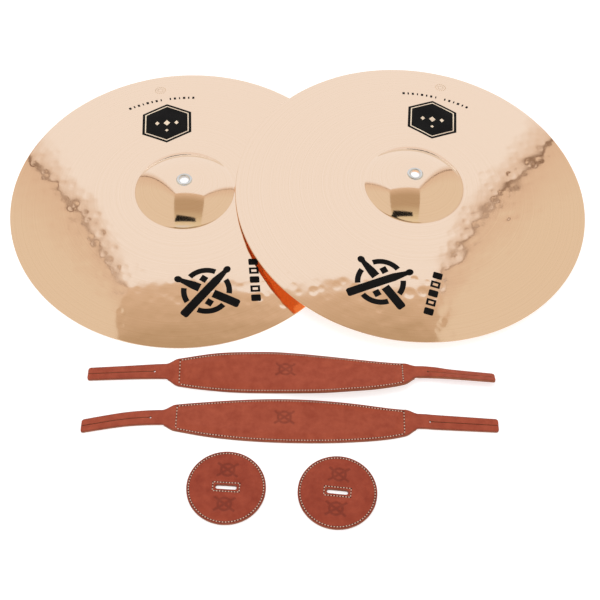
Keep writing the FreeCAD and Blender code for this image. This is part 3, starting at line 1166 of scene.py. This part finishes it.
def strap_underlay(name, line):
    """The undyed leather under a strap's panel, a touch wider than the cover."""
    def edge(place):
        return half_width(place) + 0.25

    def bottom(place, across):
        inset = edge(place) - np.abs(across)
        return 0.42 * furrow(inset - SEAM_INSET, GROOVE_WIDTH) + edge_round(inset)

    def top(place, across):
        return UNDERLAY - edge_round(edge(place) - np.abs(across)) * 0.5

    places = np.concatenate([[-UNDERLAY_END], np.arange(-145, 146, 2.5), [UNDERLAY_END]])
    steps = np.array([0, 0.2, 0.5, 1.0, 1.6, 2.2, 2.8, 3.4, 4.0, 5.0, 7.0, 10.0, 14.0, 19.0])
    columns = np.concatenate([steps, [MIDDLE_HALF], PANEL_WIDTH - steps[::-1]]) / PANEL_WIDTH
    section = bar_section(line, places, lambda s: -edge(s), edge, top, bottom, columns)
    piece = bar_object(f"{name}_underlay", section, ["underlay", "raw", "underlay"])
    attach(piece, name)
    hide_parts(f"{name}_lining")


def strap_felt(name, line):
    """The felt inside a strap's panel."""
    def edge(place):
        return half_width(place) - PADDING_INSET

    def top(place, across):
        return UNDERLAY + 0.04 + FELT * 1.02 * panel_rise(place, strap_inset(place, across))

    def bottom(place, across):
        return np.full_like(across, UNDERLAY + 0.02)

    places = np.concatenate([[-FELT_END], np.arange(-120, 121, 5.0), [FELT_END]])
    section = bar_section(line, places, lambda s: -edge(s), edge, top, bottom, np.linspace(0, 1, 23))
    piece = bar_object(f"{name}_felt", section, ["felt", "felt", "felt"])
    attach(piece, name)
    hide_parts(f"{name}_padding")


def hinge_ends(line, sign, bend):
    """The two ends of a bend on a strap's centre line, as points in the row frame, in metres."""
    points = strap_point(line, sign * np.array(bend), 0.0, TAIL_THICK / 2)
    return [tuple(p * MM) for p in points]


def tail_top(place, across, near, far):
    """Height of a tail's face: nearly flat, and rounded at its two edges."""
    inset = np.minimum(across - near(place), far(place) - across)
    crown = 0.12 * smooth_step(inset / 3)
    return TAIL_THICK - 0.12 + crown - edge_round(inset)


def strap_neck(name, line, side, sign):
    """The neck of a strap and the whole part of its tail, as one piece."""
    def near(place):
        return -half_width(place)

    def top(place, across):
        flat = tail_top(place, across, near, half_width)
        sewn = panel_top(place, across)
        blend = sewn + (flat - sewn) * smooth_step(along_neck(place))
        return np.where(np.abs(place) < NECK_END, blend, flat)

    def bottom(place, across):
        drop = smooth_step((np.abs(place) - UNDERLAY_END - 0.3) / 5)
        return (UNDERLAY + SHEET_GAP) * (1 - drop) + edge_round(strap_inset(place, across)) * drop

    places = np.concatenate([[NECK_START, 132.4, 133, 134], np.arange(135, UNDERLAY_END, 1.0),
                             np.arange(UNDERLAY_END, SLIT_START, 0.8), [SLIT_START]])
    steps = np.array([0, 0.15, 0.35, 0.6, 1.0, 1.6, 2.4, 3.2, 4.2, 5.5])
    columns = np.concatenate([steps, np.arange(7, 12.1, 1.0), TAIL_WIDTH - steps[::-1]]) / TAIL_WIDTH
    section = bar_section(line, sign * places, near, half_width, top, bottom, columns)
    piece = bar_object(f"{name}_{side}_neck", section, COVER_LOOKS)
    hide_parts(f"{name}_{side}_tail")
    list(hinge_ends(line, sign, TAIL_BEND))
    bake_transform(piece)


def strap_strand(name, line, side, sign, edge_name, edge_sign):
    """One of the two laces that a tail is slit into, with half of the punched hole at its root."""
    def inner(place):
        from_hole = np.abs(place) - LACE_HOLE_AT
        hole = np.sqrt(np.maximum(LACE_HOLE_RADIUS**2 - from_hole**2, 0))
        return edge_sign * np.maximum(0.3, hole)

    def outer(place):
        beyond = np.clip(np.abs(place) - (STRAP_HALF - 3), 0, 3)
        return edge_sign * (half_width(place) - 3 + np.sqrt(9.01 - beyond**2))

    near, far = (outer, inner) if edge_sign < 0 else (inner, outer)

    def top(place, across):
        return tail_top(place, across, near, far)

    def bottom(place, across):
        return edge_round(np.minimum(across - near(place), far(place) - across)) * 0.7

    places = np.concatenate([
        [SLIT_START, 161.4], np.arange(161.6, 165.0, 0.2), np.arange(165, 237.5, 1.6),
        [237.6, 238.4, 239.2, 239.9, 240.4, 240.8, STRAP_HALF]])
    steps = np.array([0, 0.15, 0.35, 0.6, 1.0, 1.6, 2.4, 3.4, 4.5])
    columns = np.concatenate([steps, 9 - steps[-2::-1]]) / 9
    section = bar_section(line, sign * places, near, far, top, bottom, columns)
    piece = bar_object(f"{name}_{side}_{edge_name}_lace", section, COVER_LOOKS)
    strand = f"{name}_{side}_{edge_name}_strand"
    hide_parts(strand)
    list(hinge_ends(line, sign, STRAND_BEND))
    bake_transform(piece)


def both_faces(line, place, across, lift):
    """Spots and normals for stitches on a strap's top and underside."""
    here = strap_point(line, place, across, panel_top(place, across) + lift)
    higher = strap_point(line, place, across, panel_top(place, across) + lift + 1)
    over = unit(higher - here)
    lower = strap_point(line, place, across, STITCH_UNDER)
    return np.concatenate([here, lower]), np.concatenate([over, -over])


def strap_stitches(name, line, pitch):
    """The two edge seams and the two end seams of a strap."""
    reach = NECK_START - 1.2
    for edge_name, sign in (("near", -1), ("far", 1)):
        def seam(place):
            return sign * (half_width(place) - SEAM_INSET)

        place = spaced(-reach, reach, pitch)
        spots, normals = both_faces(line, place, seam(place), STITCH_LIFT)
        ahead = strap_point(line, place + 0.5, seam(place + 0.5), 3.0)
        behind = strap_point(line, place - 0.5, seam(place - 0.5), 3.0)
        along = np.concatenate([ahead - behind] * 2)
        sew(f"{name}_{edge_name}_edge_stitches", f"{name}_{edge_name}_edge_thread", name,
            spots, along, normals)
    for side, sign in SIDES:
        width = NECK_HALF - SEAM_INSET
        across = spaced(-width, width, pitch * 1.25)
        place = np.full_like(across, sign * NECK_START)
        spots, normals = both_faces(line, place, across, CROSS_STITCH_LIFT)
        beside = strap_point(line, place, across + 1, 3.0) - strap_point(line, place, across - 1, 3.0)
        along = np.concatenate([beside] * 2)
        sew(f"{name}_{side}_cross_stitches", f"{name}_{side}_cross_thread", name, spots, along, normals)


# Pads


def slot_edge(angles):
    """Points of the slot's outline in the directions of angles about the pad's middle."""
    half = (SLOT_LENGTH - SLOT_WIDTH) / 2
    radius = SLOT_WIDTH / 2
    c = np.cos(angles)
    s = np.sin(angles)
    flat = radius / np.maximum(np.abs(s), 1e-9)
    root = np.sqrt(np.maximum(radius**2 - (half * s) ** 2, 0))
    tip = half * np.abs(c) + root
    return np.where(np.abs(c) * flat <= half, flat, tip)


def pad_place(place):
    """The matrix that carries a pad from its own middle to where it lies."""
    x, y, turn = place
    return Matrix.Translation(Vector((x, y, 0)) * MM) @ Matrix.Rotation(math.radians(turn), 4, "Z")


def pad_face_height(x, y, base, dome, out, turn_over):
    """Height of a pad's face, from its base level at the sewn rim, with grooves under the seams."""
    from_rim = PAD_RADIUS - np.hypot(x, y)
    beyond = np.maximum(np.abs(x) - SLOT_SEAM[0] / 2, np.abs(y) - SLOT_SEAM[1] / 2)
    swell = smooth_step((from_rim - 3) / 10) * smooth_step((beyond + 0.5) / 8)
    swell = np.maximum(swell, 0.55 * smooth_step((from_rim - 3) / 10))
    groove = np.maximum(furrow(from_rim - SEAM_INSET, GROOVE_WIDTH), furrow(beyond, GROOVE_WIDTH))
    height = dome * swell - GROOVE_DEPTH * groove - edge_round(from_rim) - edge_round(out)
    return base + turn_over * height


def pad_disc(name, base_top, base_under, dome_top, dome_under, place, settings, pressed):
    """One disc of a pad as rings from the slot out to the rim."""
    angles = np.arange(settings.segments) * 2 * math.pi / settings.segments
    steps = np.arange(settings.rings + 1) / settings.rings
    steps = np.sort(np.concatenate([steps, [0.004, 0.01, 0.99, 0.996]]))
    inner = slot_edge(angles)
    radius = inner + (PAD_RADIUS - inner) * steps[:, None]
    x = radius * np.cos(angles)
    y = radius * np.sin(angles)
    out = radius - inner
    top = pad_face_height(x, y, base_top, dome_top, out, 1)
    mark = np.zeros_like(x)
    if pressed:
        mark = np.maximum(pressed_mark(x, y - PAD_PRESS_AT), pressed_mark(x, y + PAD_PRESS_AT))
        top = top - pressed * mark
    under = pad_face_height(x, y, base_under, dome_under, out, -1 if dome_under <= 0 else 1)
    grid = np.concatenate([np.stack([x, y, top], -1), np.stack([x, y, under], -1)[::-1]])
    rows = grid.shape[0]
    faces = ring_faces(rows, settings.segments, closed_rows=True)
    half = len(steps)
    slots = []
    for row in range(rows):
        edge = row in (0, half - 2, half - 1, rows - 1)
        slots += [1 if edge else (0 if row < half else 2)] * settings.segments
    piece = mesh_object(name, grid.reshape(-1, 3), faces, ["pad_leather", "raw", "pad_leather"], slots,
                        sharp=50, place=pad_place(place))
    from_edge = np.minimum(PAD_RADIUS - radius, out)
    point_values(piece, "from_edge", np.concatenate([from_edge, from_edge[::-1]]))
    point_values(piece, "pressed", np.concatenate([mark, np.zeros_like(mark)]))
    return piece


def pad_stitches(name, place, settings, pitch):
    """The seam round a pad's rim and the seam round its slot, on both faces."""
    x0, y0, turn = place
    c = math.cos(math.radians(turn))
    s = math.sin(math.radians(turn))
    basis = np.array([[c, s, 0], [-s, c, 0], [0, 0, 1]])
    radius = PAD_RADIUS - SEAM_INSET
    count = round(2 * math.pi * radius / pitch)
    angles = (np.arange(count) + 0.5) * 2 * math.pi / count
    rim = np.stack([radius * np.cos(angles), radius * np.sin(angles)], -1)
    rim_along = np.stack([-np.sin(angles), np.cos(angles)], -1)
    long_side = spaced(-SLOT_SEAM[0] / 2, SLOT_SEAM[0] / 2, pitch)
    short_side = spaced(-SLOT_SEAM[1] / 2, SLOT_SEAM[1] / 2, pitch)
    slot = []
    slot_along = []
    for sign in (-1, 1):
        slot += [(u, sign * SLOT_SEAM[1] / 2) for u in long_side]
        slot_along += [(1.0, 0.0)] * len(long_side)
        slot += [(sign * SLOT_SEAM[0] / 2, v) for v in short_side]
        slot_along += [(0.0, 1.0)] * len(short_side)
    dome = settings.dome / MM
    far_in = 5.0
    for seam, spots, along in (("rim", rim, rim_along), ("slot", np.array(slot), np.array(slot_along))):
        x = spots[:, 0]
        y = spots[:, 1]
        high = pad_face_height(x, y, PAD_TOP - dome, dome, far_in, 1) + STITCH_LIFT
        over = np.stack([x, y, high], -1)
        under = np.stack([x, y, np.full_like(x, STITCH_UNDER)], -1)
        directions = np.concatenate([along, np.zeros((len(along), 1))], axis=1)
        all_spots = np.concatenate([over, under]) @ basis + np.array([x0, y0, 0])
        all_along = np.concatenate([directions, directions]) @ basis
        normals = np.concatenate([np.tile(UP, (len(x), 1)), np.tile(-UP, (len(x), 1))])
        sew(f"{name}_{seam}_stitches", f"{name}_{seam}_thread", name, all_spots, all_along, normals)


# The felt between a pad's discs: its insets from the slot and the rim, and its heights.
PAD_FELT_INSETS = (6.5, 6.0)
PAD_FELT_TOPS = (2.78, 2.3)
PAD_FELT_UNDER = 1.84


def pad_felt(name, place):
    """The thin felt between a pad's two discs."""
    segments = 120
    angles = np.arange(segments) * 2 * math.pi / segments
    inner = slot_edge(angles) + PAD_FELT_INSETS[0]
    outer = np.full_like(angles, PAD_RADIUS - PAD_FELT_INSETS[1])
    loops = ((inner, PAD_FELT_TOPS[0]), (outer, PAD_FELT_TOPS[1]), (outer, PAD_FELT_UNDER),
             (inner, PAD_FELT_UNDER))
    rows = []
    for radius, height in loops:
        rows.append(np.stack([radius * np.cos(angles), radius * np.sin(angles),
                              np.full_like(angles, height)], -1))
    faces = ring_faces(len(rows), segments, closed_rows=True)
    piece = mesh_object(f"{name}_felt", np.concatenate(rows), faces, ["felt"], place=pad_place(place))
    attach(piece, name)
    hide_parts(f"{name}_core")


# Stage, in metres

WHITE = (1.0, 1.0, 1.0)
# Each side wall leans out: its distance from the middle at the floor and at the ceiling.
WALLS = {"left": (-0.78, -0.90), "right": (0.71, 0.88)}
BACK_WALL = 0.9
BACK_EDGE = 0.11
FRONT_WALL = -1.3
CEILING = 2.57
WALL_FOOT = -0.05
CORNER_SEAM = 0.018
FLOOR_AT = -0.0003
OVER_FLOOR = 0.001
HOLE_LIGHT = 0.06
CAMERA_AT = (0.0048, -0.9024, 1.2489)
CAMERA_DOWN = 55.411
CAMERA_ROLL = 0.991
LAMP_AT = (-0.35, 0.35, 1.9)
LAMP_TURN = (-12, -10)


def stage_plane(name, corners, material):
    """A flat card, disc or floor that isn't part of the object."""
    mesh = bpy.data.meshes.new(name)
    mesh.from_pydata(corners, [], [tuple(range(len(corners)))])
    mesh.materials.append(material)
    piece = link_object(name, mesh)
    return piece


def card_material(name, colour, shaded=False):
    """A card that shines, in one colour or in those of its corners."""
    material = bpy.data.materials.new(name)
    material.use_nodes = True
    tree = NodeTree(material.node_tree)
    tree.nodes.clear()
    shine = tree.add("ShaderNodeEmission", Color=(*colour, 1.0))
    if shaded:
        tint = tree.add("ShaderNodeAttribute", attribute_name="tint")
        tree.feed(tint.outputs["Color"], shine.inputs["Color"])
    tree.feed(shine.outputs[0], tree.add("ShaderNodeOutputMaterial").inputs["Surface"])
    return material


def reflection_card(name, corners, colours):
    """A card that is seen only in the bronze. colours are one for the card, or a list for its corners."""
    shaded = isinstance(colours, list)
    card = stage_plane(name, corners, card_material(name, WHITE if shaded else colours, shaded))
    if shaded:
        tint = card.data.color_attributes.new("tint", "FLOAT_COLOR", "POINT")
        for k, colour in enumerate(colours):
            tint.data[k].color = (*colour, 1.0)
    card.visible_camera = False
    card.visible_diffuse = False
    card.visible_shadow = False
    card.visible_transmission = False
    card.visible_volume_scatter = False


def upright_card(name, left, right, colours):
    """A card that stands on the floor between two edges, each given by the x and y of its foot and of
    its top."""
    reflection_card(name, [(*left[0], WALL_FOOT), (*right[0], WALL_FOOT),
                           (*right[1], CEILING), (*left[1], CEILING)], colours)


def wall_card(name, side, near, far, colours, inward=0.0):
    """A card on a side wall between two distances along Y, or across the corner if inward is given."""
    low, high = WALLS[side]
    step = -inward if side == "right" else inward
    upright_card(name, ((low, near), (high, near)), ((low + step, far), (high + step, far)), colours)


def flat_card(name, height, corners, colours):
    """A card that lies at a height."""
    reflection_card(name, [(x, y, height) for x, y in corners], colours)


def ceiling_card(name, near, far, colours):
    """A card overhead between two distances along Y."""
    left = WALLS["left"][1]
    right = WALLS["right"][1]
    flat_card(name, CEILING, [(left, near), (right, near), (right, far), (left, far)], colours)


def back_cards(edge_colour):
    """The white card at the back, and a strip at each side that fades from it to the side wall."""
    left, right = [[(x + step, BACK_WALL) for x in WALLS[side]]
                   for side, step in (("left", BACK_EDGE), ("right", -BACK_EDGE))]
    upright_card("back card", left, right, WHITE)
    for side, inner in (("left", left), ("right", right)):
        outer = [(x, BACK_WALL) for x in WALLS[side]]
        upright_card(f"{side} back edge card", outer, inner, [edge_colour, WHITE, WHITE, edge_colour])


def make_room():
    """The cards of a small pale room round the camera, which give the bronze its broad reflections."""
    tan_corner = (0.80, 0.63, 0.49)
    tan = (0.857, 0.753, 0.604)
    brown_edge = (0.80, 0.62, 0.46)
    brown = (0.555, 0.415, 0.265)
    honey = (0.873, 0.78, 0.547)
    orange = (1.4, 0.78, 0.42)
    paper = (0.86, 0.78, 0.68)
    seam = (0.22, 0.13, 0.08)
    dark = (0.01, 0.01, 0.01)
    back_cards(tan_corner)
    shade = BACK_WALL - 0.32
    for side in WALLS:
        wall_card(f"{side} far card", side, shade, BACK_WALL, [tan, tan_corner, tan_corner, tan])
        wall_card(f"{side} near card", side, FRONT_WALL, shade, tan)
        wall_card(f"{side} corner card", side, BACK_WALL - 0.01, BACK_WALL - 0.01, seam, CORNER_SEAM)
    middle = BACK_WALL - 0.5
    fold = -0.25
    ceiling_card("far ceiling card", middle, BACK_WALL, [brown, brown, brown_edge, brown_edge])
    ceiling_card("middle ceiling card", fold, middle, brown)
    ceiling_card("near ceiling card", FRONT_WALL, fold, [honey, honey, brown, brown])
    flat_card("under card", OVER_FLOOR, [(0.02, -0.06), (0.28, -0.06), (0.26, 0.12), (0.02, 0.12)], orange)
    flat_card("far floor card", OVER_FLOOR,
              [(-1.2, 0.37), (1.2, 0.37), (1.2, BACK_WALL), (-1.2, BACK_WALL)], paper)
    flat_card("dark card", CEILING - 0.02,
              [(-0.95, -1.02), (0.50, -1.00), (0.44, -0.72), (-0.74, -0.56)], dark)


def light_through_holes():
    """A small bright disc on the floor under each strap hole, so that the holes read as open."""
    for side, place in cymbal_places().items():
        middle = place @ Vector((0, 0, CROWN_HEIGHT * MM))
        corners = [(middle.x + HOLE_LIGHT * math.cos(a), middle.y + HOLE_LIGHT * math.sin(a), 0.0)
                   for a in np.radians(np.arange(0, 360, 30))]
        name = f"{side} hole light"
        disc = stage_plane(name, corners, card_material(name, WHITE))
        disc.visible_diffuse = False
        disc.visible_glossy = False


def floor_material(settings):
    """Plain white paper with the slightest tooth."""
    material, tree, inputs = new_material("white paper floor")
    tooth = tree.noise(tree.place(), 40.0, 4.0)
    tree.feed(tree.mix(tooth, (0.60, 0.60, 0.60), (0.62, 0.62, 0.62)), inputs["Base Color"])
    inputs["Roughness"].default_value = 0.9
    inputs["Specular IOR Level"].default_value = 0.1
    inputs["Emission Color"].default_value = (1.0, 1.0, 1.0, 1.0)
    inputs["Emission Strength"].default_value = settings.floor_glow
    return material


def make_floor(settings):
    """The sheet of paper that the pieces lie on."""
    half = settings.floor_size / 2
    corners = [(x * half, y * half, FLOOR_AT) for x, y in ((-1, -1), (1, -1), (1, 1), (-1, 1))]
    stage_plane("floor", corners, floor_material(settings))


def make_camera(settings):
    """The camera over the near edge, looking down at the layout."""
    data = bpy.data.cameras.new("camera")
    data.sensor_width = 36.0
    data.lens = settings.lens
    camera = link_object("camera", data)
    down = math.radians(CAMERA_DOWN)
    roll = math.radians(CAMERA_ROLL)
    ahead = Vector((0, math.cos(down), -math.sin(down)))
    up = Vector((0, math.sin(down), math.cos(down)))
    across = Vector((1, 0, 0))
    right = across * math.cos(roll) + up * math.sin(roll)
    above = up * math.cos(roll) - across * math.sin(roll)
    turn = Matrix((right, above, -ahead)).transposed()
    camera.matrix_world = Matrix.Translation(CAMERA_AT) @ turn.to_4x4()
    bpy.context.scene.camera = camera


def make_light(settings):
    """Even room light and one broad soft lamp overhead."""
    world = bpy.data.worlds.new("room")
    world.use_nodes = True
    background = world.node_tree.nodes["Background"]
    background.inputs["Color"].default_value = (1.0, 1.0, 1.0, 1.0)
    background.inputs["Strength"].default_value = settings.room_light
    bpy.context.scene.world = world
    data = bpy.data.lights.new("overhead lamp", "AREA")
    data.shape = "RECTANGLE"
    data.size = 1.6
    data.size_y = 1.2
    data.energy = settings.lamp_power
    lamp = link_object("overhead lamp", data)
    about_x, about_y = (math.radians(angle) for angle in LAMP_TURN)
    turn = Matrix.Rotation(about_x, 4, "X") @ Matrix.Rotation(about_y, 4, "Y")
    lamp.matrix_world = Matrix.Translation(LAMP_AT) @ turn
    lamp.visible_glossy = False
    lamp.visible_camera = False


# Operators


class CYMBALS_OT_sheets(Operator):
    """Build both hammered bronze sheets and their printed marks"""

    bl_idname = "cymbals.sheets"
    bl_label = "Bronze Sheets and Prints"

    def execute(self, context):
        settings = context.scene.cymbal_settings
        film = context.scene.print_settings.film / MM
        for side, seed in HAMMER_SEEDS.items():
            hammering = Hammering(seed, settings)
            make_cymbal(side, hammering)
            make_prints(side, hammering, film)
        return {"FINISHED"}


class CYMBALS_OT_eyelets(Operator):
    """Give the eyelets and their washers a plated finish"""

    bl_idname = "cymbals.eyelets"
    bl_label = "Eyelets"

    def execute(self, context):
        for side in ("left", "right"):
            for part in ("eyelet", "eyelet_washer"):
                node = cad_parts[f"{side}_{part}"]
                node.data.materials.clear()
                node.data.materials.append(MATERIALS["nickel"])
        return {"FINISHED"}


class CYMBALS_OT_straps(Operator):
    """Build both hand straps with their padding, tails, laces and seams"""

    bl_idname = "cymbals.straps"
    bl_label = "Hand Straps"

    def execute(self, context):
        settings = context.scene.strap_settings
        for name, line in STRAPS.items():
            strap_panel(name, line, settings.press_depth / MM)
            strap_underlay(name, line)
            strap_felt(name, line)
            for side, sign in SIDES:
                strap_neck(name, line, side, sign)
                strap_strand(name, line, side, sign, "near", -1)
                strap_strand(name, line, side, sign, "far", 1)
            strap_stitches(name, line, settings.stitch_pitch / MM)
        return {"FINISHED"}


class CYMBALS_OT_pads(Operator):
    """Build both round pads with their slots and seams"""

    bl_idname = "cymbals.pads"
    bl_label = "Round Pads"

    def execute(self, context):
        settings = context.scene.pad_settings
        strap = context.scene.strap_settings
        dome = settings.dome / MM
        pressed = strap.press_depth / MM
        for name, place in PADS.items():
            front = pad_disc(f"{name}_face", PAD_TOP - dome, PAD_SKIN + SHEET_GAP, dome, dome, place,
                             settings, pressed)
            back = pad_disc(f"{name}_underside", PAD_SKIN, 0.0, 0.0, 0.0, place, settings, 0.0)
            for piece, node in ((front, "front"), (back, "back")):
                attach(piece, name)
                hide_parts(f"{name}_{node}")
            pad_felt(name, place)
            pad_stitches(name, place, settings, strap.stitch_pitch / MM)
        return {"FINISHED"}


class CYMBALS_OT_stage(Operator):
    """Build the floor, the reflection cards, the light and the camera"""

    bl_idname = "cymbals.stage"
    bl_label = "Stage"

    def execute(self, context):
        settings = context.scene.stage_settings
        make_floor(settings)
        make_room()
        light_through_holes()
        make_light(settings)
        make_camera(settings)
        context.scene.view_settings.view_transform = "Standard"
        context.scene.cycles.max_bounces = 40
        context.scene.cycles.glossy_bounces = 36
        return {"FINISHED"}


class CYMBALS_PT_pieces(Panel):
    """Lists the pieces and their settings"""

    bl_idname = "CYMBALS_PT_pieces"
    bl_label = "Hand Cymbals"
    bl_space_type = "VIEW_3D"
    bl_region_type = "UI"
    bl_category = "Hand Cymbals"

    def draw(self, context):
        layout = self.layout
        for operator in PIECE_OPERATORS:
            layout.operator(operator.bl_idname)
        for group_name, group in SETTINGS.items():
            box = layout.box()
            settings = getattr(context.scene, group_name)
            for name in group.__annotations__:
                box.prop(settings, name)


SETTINGS = {
    "cymbal_settings": CymbalSettings,
    "print_settings": PrintSettings,
    "strap_settings": StrapSettings,
    "pad_settings": PadSettings,
    "stage_settings": StageSettings,
}
PIECE_OPERATORS = (
    CYMBALS_OT_sheets, CYMBALS_OT_eyelets, CYMBALS_OT_straps, CYMBALS_OT_pads, CYMBALS_OT_stage,
)


def register():
    """Registers the settings, the operators and the panel."""
    for name, group in SETTINGS.items():
        bpy.utils.register_class(group)
        setattr(bpy.types.Scene, name, PointerProperty(type=group))
    for item in PIECE_OPERATORS + (CYMBALS_PT_pieces,):
        bpy.utils.register_class(item)


def unregister():
    """Takes away what register added."""
    for item in (CYMBALS_PT_pieces,) + PIECE_OPERATORS[::-1]:
        bpy.utils.unregister_class(item)
    for name, group in SETTINGS.items():
        delattr(bpy.types.Scene, name)
        bpy.utils.unregister_class(group)


def main():
    """Builds every piece in order."""
    register()
    MATERIALS.update(make_materials(bpy.context.scene))
    bpy.ops.cymbals.sheets()
    bpy.ops.cymbals.eyelets()
    bpy.ops.cymbals.straps()
    bpy.ops.cymbals.pads()
    bpy.ops.cymbals.stage()


if __name__ == "__main__":
    main()
